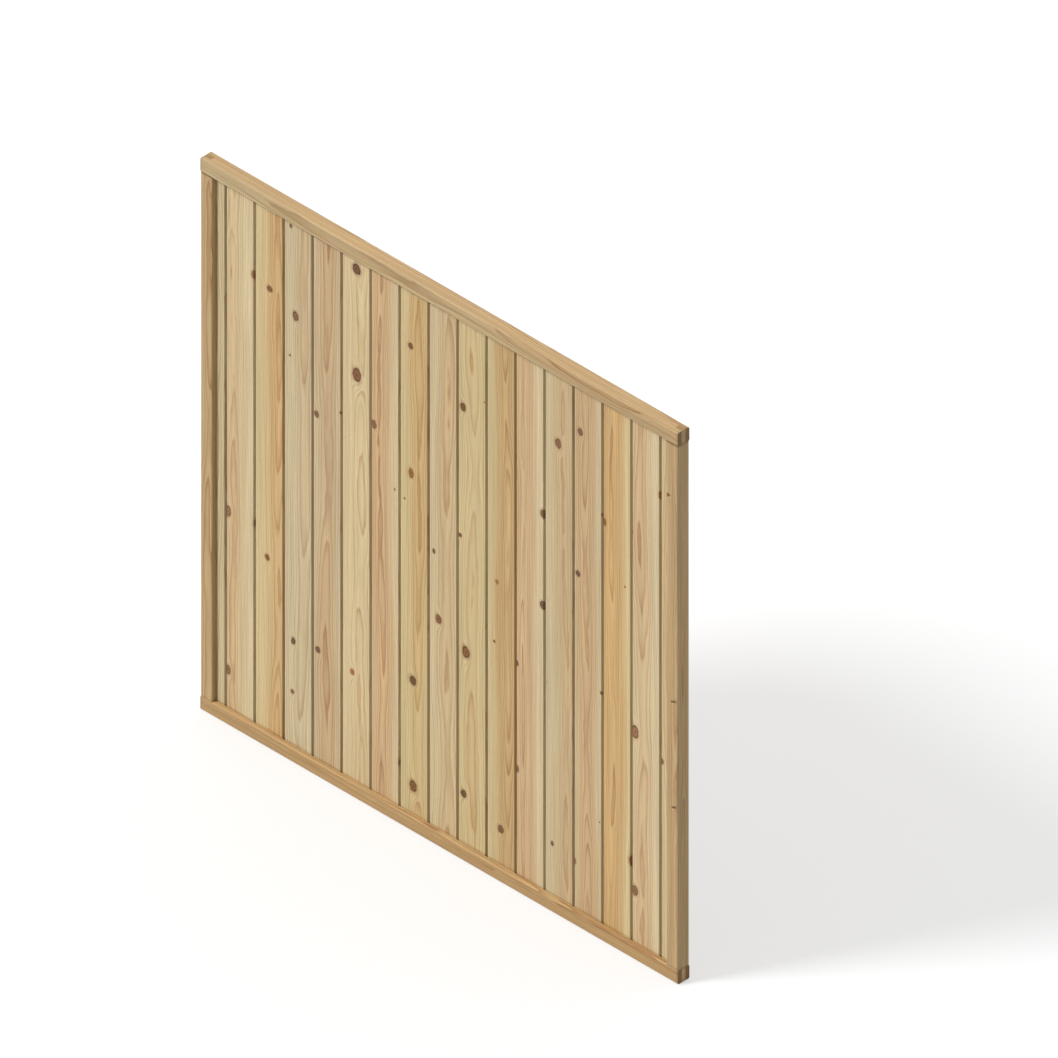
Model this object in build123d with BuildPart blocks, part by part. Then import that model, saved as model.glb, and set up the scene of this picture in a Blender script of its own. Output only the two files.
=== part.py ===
from build123d import *
import os

# Framed fence panel: upright tongue and groove boards stand in the grooves of a frame of four rounded bars.
# Lengths are in millimetres. X runs along the panel, Y from front to rear and Z up.
# The origin is at the middle of the panel's foot.

# Overall size
panel_width = 1828.0
panel_height = 1828.0

# Frame bars
frame_depth = 45.0  # front to rear
rail_height = 45.0
stile_width = 45.0
edge_radius = 5.0  # all long edges of the bars
panel_groove_depth = 20.0  # takes the boards, all round the inside of the frame

# Boards
board_thickness = 15.0
board_cover = 111.0  # from one joint to the next
vee_size = 5.0  # each slope of the V on the front face
arris_radius = 0.8  # where a slope of the V meets the face
tongue_thickness = 4.5
tongue_length = 7.0
tongue_radius = 1.0

# Corner screws, driven from the rear
screw_diameter = 4.5
screw_head_diameter = 9.0
screw_point_length = 5.0
screw_front_cover = 5.0  # timber left in front of the point
screw_head_recess = 0.2  # head below the rear face
cross_length = 5.0  # recess for the driver
cross_width = 0.9
cross_depth = 1.4

# Clearances
board_clearance = 0.2  # board to each cheek of the frame groove
board_top_gap = 3.0  # the boards stand on the bottom rail and grow upwards
board_side_gap = 2.0  # edge board to the floor of the stile groove
shoulder_gap = 0.4  # between neighbouring boards
tongue_clearance = 0.25  # tongue to each lip of the board groove
tongue_end_gap = 1.0  # tongue to the floor of the board groove
back_relief = 0.8  # rear lip of the board groove set back, so that the front shoulders meet first
tenon_clearance = 0.1  # tenon to each wall of its slot
screw_clearance = 0.1

# What follows from these sizes
rear = (0, 1, 0)
half_width = panel_width / 2
rear_face = frame_depth / 2
groove_width = board_thickness + 2 * board_clearance
tenon_thickness = groove_width - 2 * tenon_clearance
tenon_width = stile_width - panel_groove_depth
slot_depth = tenon_width + tenon_clearance
stile_shoulder_length = panel_height - 2 * rail_height

board_foot = rail_height - panel_groove_depth
board_length = panel_height - 2 * board_foot - board_top_gap
tongue_y = vee_size / 2  # middle of the square shoulder behind the V
board_groove_width = tongue_thickness + 2 * tongue_clearance
board_groove_depth = tongue_length + tongue_end_gap
full_boards = int((panel_width - 2 * stile_width) // board_cover)
joint_xs = [(i - full_boards / 2) * board_cover for i in range(full_boards + 1)]
ripped_edge_x = half_width - tenon_width - board_side_gap

screw_length = frame_depth - screw_front_cover
countersink_angle = 90
countersink_radius = screw_head_diameter / 2 + screw_head_recess + screw_clearance
screw_x = half_width - tenon_width / 2
screw_zs = (rail_height / 2, panel_height - rail_height / 2)
screw_seats = [Plane(origin=(x, rear_face, z), z_dir=rear) for x in (-screw_x, screw_x) for z in screw_zs]

# Each bar is drawn on a plane at its end: X to the rear, Y from its outer face inwards, Z along its length.
bottom_rail_plane = Plane(origin=(-half_width, 0, 0), x_dir=rear, z_dir=(1, 0, 0))
top_rail_plane = Plane(origin=(half_width, 0, panel_height), x_dir=rear, z_dir=(-1, 0, 0))
left_stile_plane = Plane(origin=(-half_width, 0, panel_height), x_dir=rear, z_dir=(0, 0, -1))
right_stile_plane = Plane(origin=(half_width, 0, 0), x_dir=rear, z_dir=(0, 0, 1))


def bar_section(plane, face_width):
    """Rounded bar with the groove for the boards in its inner edge."""
    with BuildSketch(plane) as section:
        with Locations((0, face_width / 2)):
            RectangleRounded(frame_depth, face_width, edge_radius)
        with Locations((0, face_width - panel_groove_depth / 2)):
            Rectangle(groove_width, panel_groove_depth, mode=Mode.SUBTRACT)
    return section.sketch


def drill_corners():
    """Screw holes of all four corners. Those that lie off the bar being made cut nothing."""
    with Locations(*screw_seats):
        CounterSinkHole(
            radius=screw_diameter / 2 + screw_clearance,
            counter_sink_radius=countersink_radius,
            depth=screw_length + screw_clearance,
            counter_sink_angle=countersink_angle,
        )


def make_rail(plane):
    """Rail of the full width, slotted right through at both ends for the tenons of the stiles."""
    with BuildPart() as rail:
        extrude(bar_section(plane, rail_height), amount=panel_width)
        for end_plane, inwards in ((plane, 1), (plane.offset(panel_width), -1)):
            with BuildSketch(end_plane):
                with Locations((0, rail_height / 2)):
                    Rectangle(groove_width, rail_height)
            extrude(amount=inwards * slot_depth, mode=Mode.SUBTRACT)
        drill_corners()
    return rail


def make_stile(plane):
    """Stile between the rails, with a tenon at both ends that runs out through the rail."""
    with BuildPart() as stile:
        extrude(bar_section(plane.offset(rail_height), stile_width), amount=stile_shoulder_length)
        with BuildSketch(plane):
            with Locations((0, tenon_width / 2)):
                Rectangle(tenon_thickness, tenon_width)
        extrude(amount=panel_height)
        drill_corners()
    return stile


def make_board(left_x, right_x, grooved=True, tongued=True):
    """Board with a groove at its left edge, a tongue at its right and half a V beside each.

    An edge with neither was ripped square, to go into the groove of a stile.
    """
    left_edge = left_x + shoulder_gap / 2 if grooved else left_x
    right_edge = right_x - shoulder_gap / 2 if tongued else right_x
    with BuildPart() as board:
        with BuildSketch(Plane.XY.offset(board_foot)) as profile:
            with Locations(((left_edge + right_edge) / 2, 0)):
                Rectangle(right_edge - left_edge, board_thickness)
            for easing, size in ((chamfer, vee_size), (fillet, arris_radius)):
                face_corners = profile.vertices().group_by(Axis.Y)[0].sort_by(Axis.X)
                jointed = [corner for corner, joint in zip(face_corners, (grooved, tongued)) if joint]
                easing(jointed, size)
            if tongued:
                with Locations((right_edge + tongue_length / 2, tongue_y)):
                    Rectangle(tongue_length, tongue_thickness)
                fillet(profile.vertices().group_by(Axis.X)[-1], radius=tongue_radius)
            if grooved:
                with Locations((left_edge + board_groove_depth / 2, tongue_y)):
                    Rectangle(board_groove_depth, board_groove_width, mode=Mode.SUBTRACT)
                with Locations((left_edge, board_thickness / 2)):
                    Rectangle(2 * back_relief, board_thickness - 2 * tongue_y, mode=Mode.SUBTRACT)
        extrude(amount=board_length)
    return board


def make_screw():
    """Countersunk cross-head screw that points down, with its seat's surface at Z = 0."""
    head_radius = screw_head_diameter / 2
    shank_radius = screw_diameter / 2
    head_top = -screw_head_recess
    with BuildPart() as screw:
        with BuildSketch(Plane.XZ):
            with BuildLine():
                Polyline(
                    (0, head_top),
                    (head_radius, head_top),
                    (shank_radius, head_top - (head_radius - shank_radius)),
                    (shank_radius, -(screw_length - screw_point_length)),
                    (0, -screw_length),
                    close=True,
                )
            make_face()
        revolve(axis=Axis.Z)
        with BuildSketch(Plane.XY.offset(head_top)):
            Rectangle(cross_length, cross_width)
            Rectangle(cross_width, cross_length)
        extrude(amount=-cross_depth, mode=Mode.SUBTRACT)
    return screw


# The frame
pieces = {
    "bottom_rail": make_rail(bottom_rail_plane),
    "top_rail": make_rail(top_rail_plane),
    "left_stile": make_stile(left_stile_plane),
    "right_stile": make_stile(right_stile_plane),
}

# The boards, from left to right
pieces["left_edge_board"] = make_board(-ripped_edge_x, joint_xs[0], grooved=False)
for number, (left_joint, right_joint) in enumerate(zip(joint_xs, joint_xs[1:]), start=1):
    pieces[f"board_{number:02}"] = make_board(left_joint, right_joint)
pieces["right_edge_board"] = make_board(joint_xs[-1], ripped_edge_x, tongued=False)

# The screws, one through each corner joint
one_screw = make_screw()
with BuildPart() as corner_screws:
    with Locations(*screw_seats):
        add(one_screw.part)
pieces["corner_screws"] = corner_screws

os.makedirs("parts", exist_ok=True)
for name, piece in pieces.items():
    piece.part.label = name
    export_step(piece.part, f"parts/{name}.step")
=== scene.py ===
import math

import bpy
import numpy as np
from mathutils import Matrix, Vector


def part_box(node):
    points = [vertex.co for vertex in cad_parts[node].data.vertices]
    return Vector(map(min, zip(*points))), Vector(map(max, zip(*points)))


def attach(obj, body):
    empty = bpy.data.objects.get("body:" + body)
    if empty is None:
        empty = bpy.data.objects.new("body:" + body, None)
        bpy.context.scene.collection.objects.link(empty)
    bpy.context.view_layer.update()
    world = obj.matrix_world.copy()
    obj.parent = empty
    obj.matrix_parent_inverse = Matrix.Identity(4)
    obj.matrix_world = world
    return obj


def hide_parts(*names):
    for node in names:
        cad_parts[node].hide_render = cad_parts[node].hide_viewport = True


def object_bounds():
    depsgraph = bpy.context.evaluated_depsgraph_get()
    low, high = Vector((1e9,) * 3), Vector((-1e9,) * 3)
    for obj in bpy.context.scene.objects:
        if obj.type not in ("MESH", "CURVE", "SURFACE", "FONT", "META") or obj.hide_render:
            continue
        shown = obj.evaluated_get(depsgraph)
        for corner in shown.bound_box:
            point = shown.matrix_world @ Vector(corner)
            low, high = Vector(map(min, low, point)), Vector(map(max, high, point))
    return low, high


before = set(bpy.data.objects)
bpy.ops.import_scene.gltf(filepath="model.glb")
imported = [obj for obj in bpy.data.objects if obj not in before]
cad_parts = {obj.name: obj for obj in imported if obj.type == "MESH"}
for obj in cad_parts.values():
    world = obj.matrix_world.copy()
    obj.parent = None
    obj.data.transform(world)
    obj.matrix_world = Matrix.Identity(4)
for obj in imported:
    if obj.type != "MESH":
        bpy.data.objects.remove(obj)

cad_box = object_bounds()

# Frame: two rails over the full width and two stiles between them, all 45 mm bars of planed softwood.
# The stiles end in tenons that come out through the rails. Pressure treatment left a faint green cast in the
# sapwood. The solids have the right shape, so here they only get their look.


def linear(code):
    """An sRGB hex colour as the linear values that a shader takes."""
    srgb = np.array([int(code[i : i + 2], 16) for i in (1, 3, 5)]) / 255
    value = np.where(srgb <= 0.04045, srgb / 12.92, ((srgb + 0.055) / 1.055) ** 2.4)
    return (*(float(v) for v in value), 1.0)


def add_node(tree, kind, inputs=(), **settings):
    """Adds one node, sets its properties, and links or fills its inputs.

    A node as a value means its first output. Inputs go by name or number. On a Map Range, 0 is the value,
    1 and 2 are the range that it comes from, and 3 and 4 the range that it goes to. On a Mix of colours,
    0 is the share, 6 and 7 are the colours, and output 2 is the result.
    """
    made = tree.nodes.new(kind if kind.startswith("Node") else "ShaderNode" + kind)
    for name, value in settings.items():
        setattr(made, name, value)
    for socket, value in dict(inputs).items():
        if isinstance(value, bpy.types.Node):
            value = value.outputs[0]
        if isinstance(value, bpy.types.NodeSocket):
            tree.links.new(value, made.inputs[socket])
        else:
            made.inputs[socket].default_value = value
    return made


def place_in_trunk(tree, log):
    """Where a place lies across the trunk, seen from the pith, and how far from it. The pith wanders."""
    sweep_size = (450, 450, 1000)  # this and all other sizes of the grain are in millimetres
    sweep_depth = (70, 60, 0)
    noise_middle = (0.5, 0.5, 0.5)
    sweep_place = add_node(tree, "VectorMath", {0: log, 1: sweep_size}, operation="DIVIDE")
    sweep = add_node(tree, "TexNoise", {"Vector": sweep_place, "Scale": 1, "Detail": 1.5})
    shift = add_node(
        tree, "VectorMath", {0: sweep.outputs["Color"], 1: noise_middle}, operation="SUBTRACT"
    )
    bent = add_node(tree, "VectorMath", {0: shift, 1: sweep_depth, 2: log}, operation="MULTIPLY_ADD")
    across = add_node(tree, "VectorMath", {0: bent, 1: (1, 1, 0)}, operation="MULTIPLY")
    from_pith = add_node(tree, "VectorMath", {0: across}, operation="LENGTH")
    return across, from_pith.outputs["Value"]


def nearest_branch(tree, log, from_pith, largest_knot):
    """The branch that a place belongs to: one in each cell of the trunk, running out and upwards along Y.

    A branch gets thicker on the way out. Most are small, and some cells have none. Gives the distance to
    the cell's border, three chances of the cell, the place's offset from the branch, the branch's radius,
    the oval distance from its middle, and that distance as a share of the radius, with an uneven edge.
    """
    cell_width = 110
    cell_length = 270
    rise = 0.35  # upwards for each millimetre outwards
    branchless = 0.3  # share of the cells
    smallness = 1.8  # the power that makes most branches small
    least_radius = 0.02
    uneven_size = (10, 10, 10)
    uneven_depth = 0.6  # of the radius
    spot = add_node(tree, "SeparateXYZ", {0: log})
    risen = add_node(
        tree, "Math", {0: spot.outputs["Y"], 1: rise, 2: spot.outputs["Z"]}, operation="MULTIPLY_ADD"
    )
    cell_x = add_node(tree, "Math", {0: spot.outputs["X"], 1: cell_width}, operation="DIVIDE")
    cell_z = add_node(tree, "Math", {0: risen, 1: cell_length}, operation="DIVIDE")
    cell_spot = add_node(tree, "CombineXYZ", {0: cell_x, 1: cell_z})
    cells = {"Vector": cell_spot, "Scale": 1, "Randomness": 0.8}
    cell = add_node(tree, "TexVoronoi", cells, voronoi_dimensions="2D")
    border = add_node(tree, "TexVoronoi", cells, voronoi_dimensions="2D", feature="DISTANCE_TO_EDGE")
    luck = add_node(tree, "SeparateColor", {0: cell.outputs["Color"]})
    from_middle = add_node(
        tree, "VectorMath", {0: cell_spot, 1: cell.outputs["Position"]}, operation="SUBTRACT"
    )
    offset = add_node(
        tree, "VectorMath", {0: from_middle, 1: (cell_width, cell_length, 0)}, operation="MULTIPLY"
    )

    size_luck = add_node(tree, "MapRange", {0: luck, 1: branchless, 2: 1, 3: 0, 4: 1})
    size = add_node(tree, "Math", {0: size_luck, 1: smallness}, operation="POWER")
    age = add_node(tree, "MapRange", {0: from_pith, 1: 10, 2: 60, 3: 0.3, 4: 1})
    full_radius = add_node(tree, "Math", {0: age, 1: largest_knot}, operation="MULTIPLY")
    radius = add_node(tree, "Math", {0: size, 1: full_radius, 2: least_radius}, operation="MULTIPLY_ADD")

    squash = add_node(tree, "MapRange", {0: luck.outputs["Green"], 3: 0.6, 4: 1})
    stretch = add_node(tree, "CombineXYZ", {0: 1.0, 1: squash})
    oval = add_node(tree, "VectorMath", {0: offset, 1: stretch}, operation="MULTIPLY")
    distance = add_node(tree, "VectorMath", {0: oval}, operation="LENGTH").outputs["Value"]
    even_share = add_node(tree, "Math", {0: distance, 1: radius}, operation="DIVIDE")
    uneven_place = add_node(tree, "VectorMath", {0: log, 1: uneven_size}, operation="DIVIDE")
    uneven = add_node(tree, "TexNoise", {"Vector": uneven_place, "Scale": 1, "Detail": 2})
    uneven_shift = add_node(tree, "Math", {0: uneven, 1: 0.5}, operation="SUBTRACT")
    share = add_node(
        tree, "Math", {0: uneven_shift, 1: uneven_depth, 2: even_share}, operation="MULTIPLY_ADD"
    )
    return {
        "border": border,
        "luck": luck,
        "offset": offset,
        "radius": radius,
        "distance": distance,
        "share": share,
    }


def parted_grain(tree, log, across, branch):
    """How a branch parts the grain to both sides and swells the rings, over a long and narrow stretch.

    The effect falls off as the exponential of minus the squared distance, and ends at the cell's border.
    Gives where the fibre would be without the branch, its distance from the pith, and the swelling.
    """
    narrowing = (0.65, 0.3, 0)
    parting = (-0.8, 0, 0)
    fade_width = 0.12  # of a cell
    oval = add_node(tree, "VectorMath", {0: branch["offset"], 1: narrowing}, operation="MULTIPLY")
    distance = add_node(tree, "VectorMath", {0: oval}, operation="LENGTH").outputs["Value"]
    share = add_node(tree, "Math", {0: distance, 1: branch["radius"]}, operation="DIVIDE")
    square = add_node(tree, "Math", {0: share, 1: share}, operation="MULTIPLY")
    fall = add_node(tree, "Math", {0: square, 1: -1}, operation="MULTIPLY")
    nearness = add_node(tree, "Math", {0: fall}, operation="EXPONENT")
    fade = add_node(
        tree, "MapRange", {0: branch["border"], 1: 0, 2: fade_width}, interpolation_type="SMOOTHSTEP"
    )
    effect = add_node(tree, "Math", {0: nearness, 1: fade}, operation="MULTIPLY")
    swelling = add_node(tree, "Math", {0: effect, 1: branch["radius"]}, operation="MULTIPLY")
    inwards = add_node(tree, "VectorMath", {0: branch["offset"], 1: parting}, operation="MULTIPLY")
    parted = add_node(tree, "VectorMath", {0: inwards, "Scale": effect}, operation="SCALE")
    flow = add_node(tree, "VectorMath", {0: log, 1: parted}, operation="ADD")
    ring_place = add_node(tree, "VectorMath", {0: across, 1: parted}, operation="ADD")
    ring_distance = add_node(tree, "VectorMath", {0: ring_place}, operation="LENGTH")
    return flow, ring_distance.outputs["Value"], swelling


def year_rings(tree, flow, ring_distance, swelling, ring_width):
    """Rings as steps of the distance from the pith, which wobbles a little and swells at branches.

    Gives that distance and the share of late wood, which rises through each year, more in some years.
    """
    wobble_size = (30, 30, 170)
    wobble_depth = 7
    swelling_share = 0.8
    wobble_place = add_node(tree, "VectorMath", {0: flow, 1: wobble_size}, operation="DIVIDE")
    wobble = add_node(tree, "TexNoise", {"Vector": wobble_place, "Scale": 1, "Detail": 2})
    wobbled = add_node(
        tree, "Math", {0: wobble, 1: wobble_depth, 2: ring_distance}, operation="MULTIPLY_ADD"
    )
    grown = add_node(tree, "Math", {0: swelling, 1: swelling_share, 2: wobbled}, operation="MULTIPLY_ADD")
    years = add_node(tree, "Math", {0: grown, 1: ring_width}, operation="DIVIDE")
    season = add_node(tree, "Math", {0: years}, operation="FRACT")
    year = add_node(tree, "Math", {0: years}, operation="FLOOR")
    vigour = add_node(tree, "TexWhiteNoise", {"W": year}, noise_dimensions="1D")
    strength = add_node(tree, "MapRange", {0: vigour.outputs["Value"], 3: 0.4, 4: 1})
    late_share = add_node(tree, "ValToRGB", {0: season})
    stops = late_share.color_ramp.elements
    stops[0].color = stops[1].color = (0.4, 0.4, 0.4, 1)
    for at, amount in ((0.06, 0.0), (0.45, 0.12), (0.78, 0.6), (0.93, 1.0)):
        stops.new(at).color = (amount, amount, amount, 1)
    latewood = add_node(tree, "Math", {0: late_share, 1: strength}, operation="MULTIPLY")
    return grown, latewood


def fibre_and_streaks(tree, flow):
    """Fine fibre, short dark resin canals, and broad streaks of uneven drying and treatment.

    Real fibres are about 0.03 mm wide and resin canals 0.1 mm, too fine to show, so both are drawn coarser.
    Gives the fibre, for its relief, and the shade that all three make together.
    """
    fibre_size = (2 / 3, 2 / 3, 30)
    resin_size = (5 / 12, 5 / 12, 9)
    streak_size = (9, 9, 420)
    fibre_place = add_node(tree, "VectorMath", {0: flow, 1: fibre_size}, operation="DIVIDE")
    fibre = add_node(tree, "TexNoise", {"Vector": fibre_place, "Scale": 1, "Detail": 3})
    fibre_shade = add_node(tree, "MapRange", {0: fibre, 1: 0.25, 2: 0.75, 3: 0.9, 4: 1.08})
    resin_place = add_node(tree, "VectorMath", {0: flow, 1: resin_size}, operation="DIVIDE")
    resin = add_node(tree, "TexNoise", {"Vector": resin_place, "Scale": 1, "Detail": 1})
    resin_shade = add_node(tree, "MapRange", {0: resin, 1: 0.62, 2: 0.72, 3: 1, 4: 0.8})
    streak_place = add_node(tree, "VectorMath", {0: flow, 1: streak_size}, operation="DIVIDE")
    streak = add_node(tree, "TexNoise", {"Vector": streak_place, "Scale": 1, "Detail": 2})
    streak_shade = add_node(tree, "MapRange", {0: streak, 1: 0.25, 2: 0.75, 3: 0.86, 4: 1.1})
    fine_shade = add_node(tree, "Math", {0: fibre_shade, 1: resin_shade}, operation="MULTIPLY")
    shade = add_node(tree, "Math", {0: fine_shade, 1: streak_shade}, operation="MULTIPLY")
    return fibre, shade


def clear_wood(tree, grown, latewood, shade, end_grain):
    """Colour between the knots: pale sapwood, redder heartwood, browner late wood, darker end grain."""
    heart_radius = 35
    sap_radius = 70
    heart = add_node(
        tree,
        "MapRange",
        {0: grown, 1: sap_radius, 2: heart_radius, 3: 0, 4: 1},
        interpolation_type="SMOOTHSTEP",
    )
    early = add_node(tree, "Mix", {0: heart, 6: linear("#DAC69A"), 7: linear("#D2B07E")}, data_type="RGBA")
    late = add_node(tree, "Mix", {0: heart, 6: linear("#B79860"), 7: linear("#A97B49")}, data_type="RGBA")
    ringed = add_node(tree, "Mix", {0: latewood, 6: early.outputs[2], 7: late.outputs[2]}, data_type="RGBA")
    shaded = add_node(tree, "VectorMath", {0: ringed.outputs[2], "Scale": shade}, operation="SCALE")
    ended = add_node(tree, "Mix", {0: end_grain, 6: shaded, 7: linear("#92713F")}, data_type="RGBA")
    return ended.outputs[2]


def knotted_wood(tree, wood, branch):
    """The wood's colour with the knots laid over it.

    A knot is redder than the wood, has fine rings of its own and stains the wood round it. A branch that died
    before the trunk closed round it also has a dark edge of bark.
    """
    ring_width = 1.5
    luck = branch["luck"]
    years = add_node(tree, "Math", {0: branch["distance"], 1: ring_width}, operation="DIVIDE")
    season = add_node(tree, "Math", {0: years}, operation="FRACT")
    ringed = add_node(tree, "MapRange", {0: season, 3: 0.78, 4: 1.12})
    tone = add_node(tree, "MapRange", {0: luck.outputs["Blue"], 3: 0.6, 4: 1.35})
    death = add_node(tree, "Math", {0: luck, 1: 9}, operation="MULTIPLY")
    death_luck = add_node(tree, "Math", {0: death}, operation="FRACT")
    bark_shade = add_node(tree, "MapRange", {0: death_luck, 1: 0.4, 2: 0.7, 3: 1, 4: 0.35})
    past_bark = add_node(tree, "Math", {0: branch["share"], 1: 0.95}, operation="SUBTRACT")
    off_bark = add_node(tree, "Math", {0: past_bark}, operation="ABSOLUTE")
    bark = add_node(tree, "MapRange", {0: off_bark, 1: 0.04, 2: 0.16, 3: bark_shade, 4: 1})
    barked = add_node(tree, "Math", {0: ringed, 1: bark}, operation="MULTIPLY")
    shade = add_node(tree, "Math", {0: tone, 1: barked}, operation="MULTIPLY")

    # From the knot's middle to twice its radius: colour, and how much of the wood it covers
    half_share = add_node(tree, "Math", {0: branch["share"], 1: 0.5}, operation="MULTIPLY")
    colour = add_node(tree, "ValToRGB", {0: half_share})
    stops = colour.color_ramp.elements
    stops[0].color = linear("#80552F")
    stops[1].color = (*linear("#B58A52")[:3], 0)
    for at, code, cover in (
        (0.08, "#6B4526", 1),
        (0.2, "#936439", 1),
        (0.4, "#8B5C35", 1),
        (0.49, "#7E5230", 1),
        (0.56, "#9A6C3C", 0.75),
        (0.66, "#AB7F49", 0.35),
        (0.95, "#B58A52", 0),
    ):
        stops.new(at).color = (*linear(code)[:3], cover)
    shaded = add_node(tree, "VectorMath", {0: colour, "Scale": shade}, operation="SCALE")
    knotted = add_node(tree, "Mix", {0: colour.outputs["Alpha"], 6: wood, 7: shaded}, data_type="RGBA")
    return knotted.outputs[2]


def softwood_grain():
    """Solid softwood, worked out at any place in the log it was sawn from, so that a piece's faces agree.

    The place is in millimetres, with the pith at X = Y = 0 and Z along the trunk.
    """
    tree = bpy.data.node_groups.new("softwood grain", "ShaderNodeTree")
    tree.interface.new_socket("Log", in_out="INPUT", socket_type="NodeSocketVector")
    for name in ("Ring width", "Largest knot", "End grain"):
        tree.interface.new_socket(name, in_out="INPUT", socket_type="NodeSocketFloat")
    tree.interface.new_socket("Color", in_out="OUTPUT", socket_type="NodeSocketColor")
    for name in ("Roughness", "Height"):
        tree.interface.new_socket(name, in_out="OUTPUT", socket_type="NodeSocketFloat")
    given = add_node(tree, "NodeGroupInput")
    log = given.outputs["Log"]
    across, from_pith = place_in_trunk(tree, log)
    branch = nearest_branch(tree, log, from_pith, given.outputs["Largest knot"])
    flow, ring_distance, swelling = parted_grain(tree, log, across, branch)
    grown, latewood = year_rings(tree, flow, ring_distance, swelling, given.outputs["Ring width"])
    fibre, shade = fibre_and_streaks(tree, flow)
    wood = clear_wood(tree, grown, latewood, shade, given.outputs["End grain"])
    colour = knotted_wood(tree, wood, branch)
    roughness = add_node(tree, "MapRange", {0: latewood, 3: 0.66, 4: 0.54})
    height = add_node(tree, "Math", {0: fibre, 1: 0.5, 2: latewood}, operation="MULTIPLY_ADD")
    add_node(tree, "NodeGroupOutput", {"Color": colour, "Roughness": roughness, "Height": height})
    return tree


grain = softwood_grain()

panel_middle = (Vector(cad_box[0]) + Vector(cad_box[1])) / 2
half_panel = Vector(cad_box[1]) - panel_middle
half_opening = Vector((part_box("right_stile")[0].x, 0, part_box("top_rail")[0].z)) - panel_middle
board_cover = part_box("board_02")[0].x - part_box("board_01")[0].x


def painted_shade(tree, here, face_y, joint, jointed):
    """How much shade is painted into the colour: beside the frame's joints, at the boards' edges and down
    each V, darker towards the V's bottom.

    The frame's joints lie at joint = (x, z) to both sides of the panel's middle. The boards' edges lie one
    board cover apart, the first half a cover from the middle. Bars have none, so their jointed is 0, and that
    of a board is 1.
    """
    joint_reach = 0.008
    edge_reach = 0.0035
    vee_depth = 0.005
    # Painted shade along the frame's joints, darkest on the joint and gone 8 mm away from it
    outwards = add_node(
        tree, "VectorMath", {0: here.outputs["Object"], 1: panel_middle}, operation="SUBTRACT"
    )
    away = add_node(tree, "VectorMath", {0: outwards}, operation="ABSOLUTE")
    room = add_node(tree, "VectorMath", {0: (joint[0], 0, joint[1]), 1: away}, operation="SUBTRACT")
    to_joint = add_node(tree, "SeparateXYZ", {0: room})
    nearest = add_node(
        tree, "Math", {0: to_joint.outputs["X"], 1: to_joint.outputs["Z"]}, operation="MINIMUM"
    )
    from_joint = add_node(tree, "Math", {0: nearest}, operation="ABSOLUTE")
    painted_joint_shade = add_node(
        tree,
        "MapRange",
        {0: from_joint, 1: 0, 2: joint_reach, 3: 0.6, 4: 0},
        interpolation_type="SMOOTHSTEP",
    )

    # Painted shade on the boards' sideways faces, the slopes of the V: half as dark at the face, full from
    # the V's depth down
    facing = add_node(tree, "SeparateXYZ", {0: here.outputs["Normal"]})
    sideways = add_node(tree, "Math", {0: facing.outputs["X"]}, operation="ABSOLUTE")
    slope = add_node(tree, "MapRange", {0: sideways, 1: 0.3, 2: 0.6, 3: 0, 4: jointed})
    spot = add_node(tree, "SeparateXYZ", {0: here.outputs["Object"]})
    down_vee = add_node(
        tree, "MapRange", {0: spot.outputs["Y"], 1: face_y, 2: face_y + vee_depth, 3: 0.5, 4: 1}
    )
    painted_vee_shade = add_node(tree, "Math", {0: slope, 1: down_vee}, operation="MULTIPLY")

    # Painted shade along each board's edges, where it meets the next board, through its whole thickness
    shifted = add_node(tree, "VectorMath", {0: outwards, 1: (board_cover / 2, 0, 0)}, operation="ADD")
    along_panel = add_node(tree, "SeparateXYZ", {0: shifted})
    from_edge = add_node(tree, "Math", {0: along_panel, 1: board_cover / 2}, operation="PINGPONG")
    painted_edge_shade = add_node(tree, "MapRange", {0: from_edge, 1: 0, 2: edge_reach, 3: 0.75 * jointed, 4: 0})
    painted_board_shade = add_node(tree, "Math", {0: painted_vee_shade, 1: painted_edge_shade}, operation="MAXIMUM")
    return add_node(tree, "Math", {0: painted_joint_shade, 1: painted_board_shade}, operation="MAXIMUM")


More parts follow.
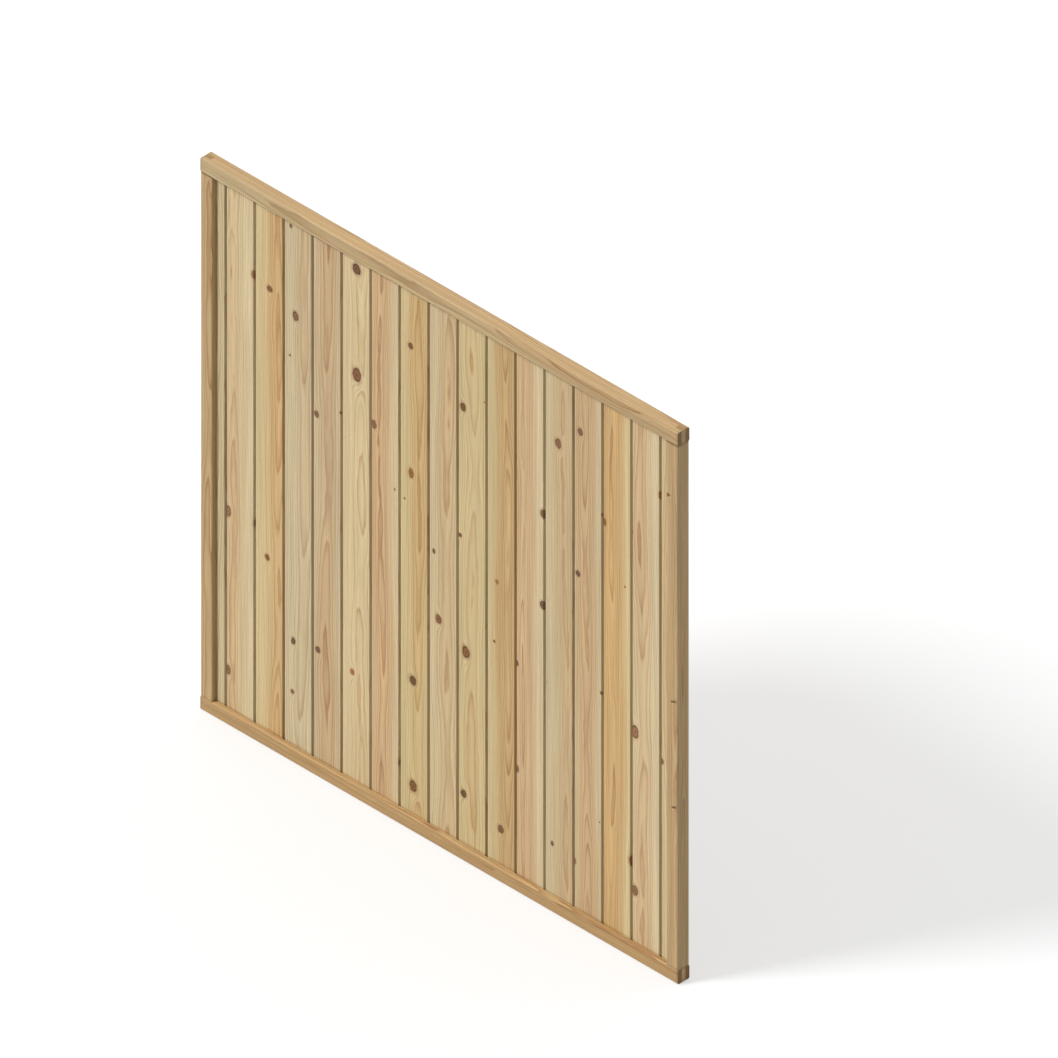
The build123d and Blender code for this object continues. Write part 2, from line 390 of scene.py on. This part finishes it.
def planed_softwood(node, axis, pith, turn, ring_width, largest_knot, tone, joint, jointed):
    """Matt, pale planed timber of one piece, which shows the grain of its own place in the log.

    The piece's middle lies at pith = (x, y, z) millimetres from the log's pith, turned about the grain.
    The early wood is a little rougher and lower than the late wood, as planing and drying leave it.
    """
    relief = 0.00006
    low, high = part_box(node)
    material = bpy.data.materials.new(f"planed softwood {node}")
    material.use_nodes = True
    tree = material.node_tree
    tree.nodes.clear()
    here = add_node(tree, "TexCoord")
    centred = add_node(
        tree, "VectorMath", {0: here.outputs["Object"], 1: (low + high) / 2}, operation="SUBTRACT"
    )
    log = add_node(
        tree,
        "Mapping",
        {
            "Vector": centred,
            "Scale": (1000, 1000, 1000),
            "Rotation": (0, math.pi / 2 if axis == "X" else 0, turn),
            "Location": pith,
        },
    )
    along = Vector((1, 0, 0)) if axis == "X" else Vector((0, 0, 1))
    faced = add_node(tree, "VectorMath", {0: here.outputs["Normal"], 1: along}, operation="DOT_PRODUCT")
    end = add_node(tree, "Math", {0: faced.outputs["Value"]}, operation="ABSOLUTE")
    end_share = add_node(tree, "MapRange", {0: end, 1: 0.6, 2: 0.9, 3: 0, 4: 0.7})
    wood = add_node(
        tree,
        "Group",
        {"Log": log, "Ring width": ring_width, "Largest knot": largest_knot, "End grain": end_share},
        node_tree=grain,
    )
    hue, saturation, value = tone
    toned = add_node(
        tree,
        "HueSaturation",
        {"Hue": hue, "Saturation": saturation, "Value": value, "Color": wood.outputs["Color"]},
    )
    # Painted shade: the wood's colour is multiplied darker towards #BFB5A4 beside the frame's joints, along
    # the boards' edges and down the V joints
    painted_shade_share = painted_shade(tree, here, low.y, joint, jointed)
    with_painted_shade = add_node(
        tree, "Mix", {0: painted_shade_share, 6: toned, 7: linear("#BFB5A4")}, data_type="RGBA", blend_type="MULTIPLY"
    )
    bump = add_node(tree, "Bump", {"Height": wood.outputs["Height"], "Distance": relief, "Strength": 1.0})
    shader = add_node(
        tree,
        "BsdfPrincipled",
        {
            "Base Color": with_painted_shade.outputs[2],
            "Roughness": wood.outputs["Roughness"],
            "Normal": bump,
            "Specular IOR Level": 0.35,
        },
    )
    add_node(tree, "OutputMaterial", {"Surface": shader})
    return material


# The bars are cut close to the pith, so they show heartwood and only small knots
bar_knot = 5  # radius in millimetres
out_of_reach = 10  # a joint that is nowhere on the panel
rail_joint = (half_panel.x, out_of_reach)
stile_joint = (out_of_reach, half_opening.z)
chance = np.random.default_rng(11)
for bar, axis, joint in (
    ("bottom_rail", "X", rail_joint),
    ("top_rail", "X", rail_joint),
    ("left_stile", "Z", stile_joint),
    ("right_stile", "Z", stile_joint),
):
    pith = (chance.uniform(-15, 15), chance.uniform(8, 25), chance.uniform(0, 20000))
    turn = chance.uniform(0, math.tau)
    tone = (0.5 + chance.uniform(-0.002, 0.002), chance.uniform(0.95, 1.05), chance.uniform(0.8, 0.86))
    ring_width = chance.uniform(4, 6)
    timber = planed_softwood(bar, axis, pith, turn, ring_width, bar_knot, tone, joint, jointed=0)
    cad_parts[bar].material_slots[0].material = timber

# Boards: flat sawn softwood, planed on both faces and run with a tongue, a groove and a V along the edges.
# They stand loose in the groove of the frame, so that they can swell and shrink with the weather.
board_knot = 14  # radius in millimetres
board_joint = (half_opening.x, half_opening.z)
for board in sorted(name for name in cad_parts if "board" in name):
    heart_side = chance.choice([-1, 1])
    pith = (chance.uniform(-30, 30), heart_side * chance.uniform(18, 60), chance.uniform(0, 20000))
    tone = (0.5 + chance.uniform(-0.003, 0.003), chance.uniform(0.9, 1.05), chance.uniform(0.91, 1.03))
    ring_width = chance.uniform(3.4, 6)
    timber = planed_softwood(board, "Z", pith, 0, ring_width, board_knot, tone, board_joint, jointed=1)
    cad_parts[board].material_slots[0].material = timber

# Corner screws: zinc plated countersunk wood screws with a cross recess, one through each corner joint.
# They are driven from the rear, through the rail's cheek and the stile's tenon, until the head sits just
# below the face.
head_radius = 0.0045
head_edge = 0.0003  # rounded edge of the head
core_radius = 0.0015
thread_radius = 0.00225
thread_pitch = 0.0018
thread_start = 0.014  # below the head
crest_half_width = 0.3  # of a pitch
point_length = 0.005
cross_arm = 0.0026
cross_half_width = 0.00055
cross_depth = 0.0014
cross_slope = 0.0002  # width of the recess's sloping walls
points_round = 96
head_rings = 26
plain_rings = 4
rings_per_turn = 10
ring_gap = 0.0001  # from a pole or the start of the thread to the next ring


def cross_recess(x, z):
    """Depth of the driver recess: two crossing arms with steep walls, deepest in the middle of the head."""

    def arm(along, aside):
        floor = cross_depth * np.clip(1 - (along / cross_arm) ** 2, 0, 1)
        wall = np.clip((cross_half_width - np.abs(aside)) / cross_slope + 0.5, 0, 1)
        return floor * wall

    return np.maximum(arm(x, z), arm(z, x))


def screw_points(seat, tip_y, cross_turn, angle):
    """One screw as rings of points from the head's middle to just before the tip, as (ring, angle, XYZ).

    Over the head the radius grows and the depth is that of the recess. Down the shank the radius is that of
    the core, plus a thread whose crest is a narrow ridge that climbs by one pitch for each turn.
    """
    length = seat.y - tip_y
    head = np.concatenate([np.linspace(ring_gap, head_radius - head_edge, head_rings), [head_radius]])
    head_depth = np.where(head < head_radius, 0, head_edge)
    cone_depth = head_edge + head_radius - core_radius
    plain_depth = np.linspace(cone_depth, thread_start, plain_rings)
    thread_step = thread_pitch / rings_per_turn
    thread_depth = np.arange(thread_start + ring_gap, length - 2 * ring_gap, thread_step)
    shank_depth = np.concatenate([plain_depth, thread_depth])
    taper = np.clip((length - shank_depth) / point_length, 0, 1)
    lead = (shank_depth[:, None] / thread_pitch - angle / math.tau) % 1
    ridge = np.clip(1 - np.abs(lead - 0.5) / crest_half_width, 0, 1)
    crest = ridge * (shank_depth > thread_start)[:, None]
    shank = (core_radius + (thread_radius - core_radius) * crest) * taper[:, None]
    radius = np.concatenate([np.repeat(head[:, None], len(angle), 1), shank])
    depth = np.repeat(np.concatenate([head_depth, shank_depth])[:, None], len(angle), 1)
    x = radius * np.cos(angle)
    z = radius * np.sin(angle)
    turned_x = x * math.cos(cross_turn) + z * math.sin(cross_turn)
    turned_z = z * math.cos(cross_turn) - x * math.sin(cross_turn)
    depth[: len(head)] += cross_recess(turned_x, turned_z)[: len(head)]
    return np.stack([seat.x + x, seat.y - depth, seat.z + z], axis=-1)


screws_low, screws_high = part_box("corner_screws")
angle = np.arange(points_round) / points_round * math.tau
seats = [
    Vector((x, screws_high.y, z))
    for x in (screws_low.x + head_radius, screws_high.x - head_radius)
    for z in (screws_low.z + head_radius, screws_high.z - head_radius)
]
rings = np.stack(
    [screw_points(seat, screws_low.y, chance.uniform(0, math.pi / 2), angle) for seat in seats]
)
number = np.arange(rings[..., 0].size).reshape(rings.shape[:3])
beside = np.roll(number, -1, axis=2)
quads = np.stack([number[:, :-1], beside[:, :-1], beside[:, 1:], number[:, 1:]], axis=-1).reshape(-1, 4)
middles = np.array([[(s.x, s.y - cross_depth, s.z), (s.x, screws_low.y, s.z)] for s in seats])
pole = number.size + np.arange(middles[..., 0].size).reshape(-1, 2)
heads = np.stack([np.broadcast_to(pole[:, :1], number[:, 0].shape), beside[:, 0], number[:, 0]], axis=-1)
tips = np.stack([np.broadcast_to(pole[:, 1:], number[:, -1].shape), number[:, -1], beside[:, -1]], axis=-1)
screw_mesh = bpy.data.meshes.new("corner_screws_steel")
screw_mesh.from_pydata(
    np.concatenate([rings.reshape(-1, 3), middles.reshape(-1, 3)]).tolist(),
    [],
    quads.tolist() + heads.reshape(-1, 3).tolist() + tips.reshape(-1, 3).tolist(),
)
screw_mesh.shade_smooth()
screw_mesh.set_sharp_from_angle(angle=math.radians(40))
screws = bpy.data.objects.new("corner_screws_steel", screw_mesh)
scene = bpy.context.scene
scene.collection.objects.link(screws)
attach(screws, "root")
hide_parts("corner_screws")

# Bright zinc: a pale, slightly yellow metal with soft reflections and a faint mottle from the plating bath.
# Its crystals are far too fine to show, so the mottle is drawn about a millimetre wide.
zinc_mottle = 900  # patches in a metre
zinc = bpy.data.materials.new("bright zinc plated steel")
zinc.use_nodes = True
tree = zinc.node_tree
tree.nodes.clear()
here = add_node(tree, "TexCoord")
mottle = add_node(tree, "TexNoise", {"Vector": here.outputs["Object"], "Scale": zinc_mottle, "Detail": 3})
zinc_colour = add_node(
    tree, "Mix", {0: mottle, 6: linear("#B9B5A4"), 7: linear("#D6D2C2")}, data_type="RGBA"
)
zinc_rough = add_node(tree, "MapRange", {0: mottle, 3: 0.28, 4: 0.45})
zinc_shader = add_node(
    tree, "BsdfPrincipled", {"Base Color": zinc_colour.outputs[2], "Roughness": zinc_rough, "Metallic": 1.0}
)
add_node(tree, "OutputMaterial", {"Surface": zinc_shader})
screw_mesh.materials.append(zinc)

# Floor: a large sheet of matt white paper, which keeps the panel's soft shadow.
# Half of what shows of it is plain white, so that it runs into the background. For the light that it throws
# back on the panel it is only a mid grey.
floor_size = 60
floor_mesh = bpy.data.meshes.new("floor")
corners = floor_size / 2 * np.array([[-1, -1, 0], [1, -1, 0], [1, 1, 0], [-1, 1, 0]])
floor_mesh.from_pydata(corners.tolist(), [], [(0, 1, 2, 3)])
floor = bpy.data.objects.new("floor", floor_mesh)
scene.collection.objects.link(floor)


def shown_share(tree):
    """1 for a ray that shows the background, to the camera or in gloss or glass, and 0 for other light."""
    path = add_node(tree, "LightPath")
    direct = add_node(
        tree,
        "Math",
        {0: path.outputs["Is Camera Ray"], 1: path.outputs["Is Glossy Ray"]},
        operation="MAXIMUM",
    )
    return add_node(tree, "Math", {0: direct, 1: path.outputs["Is Transmission Ray"]}, operation="MAXIMUM")


paper = bpy.data.materials.new("matt white paper")
paper.use_nodes = True
tree = paper.node_tree
tree.nodes.clear()
shown = shown_share(tree)
paleness = add_node(tree, "MapRange", {0: shown, 3: 0.5, 4: 0.88})
matt = add_node(tree, "BsdfDiffuse", {"Color": paleness})
white = add_node(tree, "Emission", {"Color": (1, 1, 1, 1), "Strength": 1.0})
white_share = add_node(tree, "Math", {0: shown, 1: 0.5}, operation="MULTIPLY")
seen = add_node(tree, "MixShader", {0: white_share, 1: matt, 2: white})
add_node(tree, "OutputMaterial", {"Surface": seen})
floor_mesh.materials.append(paper)

# Light: a broad key light from the front left, and light from all round that is strongest at the rear left.
# The right-hand ends and the slopes of the V joints that face right stay darker than the faces.
brightest = (-0.55, 0.7, 0.45)
world = bpy.data.worlds.new("studio")
scene.world = world
world.use_nodes = True
tree = world.node_tree
tree.nodes.clear()
direction = add_node(tree, "TexCoord")
towards_bright = add_node(
    tree, "VectorMath", {0: direction.outputs["Generated"], 1: brightest}, operation="DOT_PRODUCT"
)
strength = add_node(tree, "MapRange", {0: towards_bright.outputs["Value"], 1: -1, 2: 1, 3: 0.06, 4: 1.05})
light = add_node(tree, "Background", {"Color": (1, 1, 1, 1), "Strength": strength})
white = add_node(tree, "Background", {"Color": (1, 1, 1, 1), "Strength": 1.0})
sky = add_node(tree, "MixShader", {0: shown_share(tree), 1: light, 2: white})
add_node(tree, "OutputWorld", {"Surface": sky})

key = bpy.data.objects.new("key", bpy.data.lights.new("key", "SUN"))
key.data.energy = 2.55
key.data.angle = math.radians(16)
towards_key = Vector((-0.4, -0.6, 0.7))
key.matrix_world = towards_key.to_track_quat("Z", "Y").to_matrix().to_4x4()
scene.collection.objects.link(key)

# Camera: the drawing is a true isometric view, so the camera has no perspective and looks along a cube's
# diagonal. The place of the panel's middle and the scale are those of the drawing.
photo_side = 1058
photo_pixels_per_metre = 369.3
panel_middle_pixel = Vector((444.9, 568.0))
camera_distance = 6
back = Vector((1, -1, 1)).normalized()
right = Vector((1, 1, 0)).normalized()
up = back.cross(right)
shift = (Vector((photo_side, photo_side)) / 2 - panel_middle_pixel) / photo_pixels_per_metre
aim = panel_middle + right * shift.x - up * shift.y
camera = bpy.data.objects.new("camera", bpy.data.cameras.new("camera"))
camera.data.type = "ORTHO"
camera.data.ortho_scale = photo_side / photo_pixels_per_metre
camera.data.clip_end = 100
turned = Matrix((right, up, back)).transposed().to_4x4()
camera.matrix_world = Matrix.Translation(aim + back * camera_distance) @ turned
scene.collection.objects.link(camera)
scene.camera = camera

scene.view_settings.view_transform = "Standard"
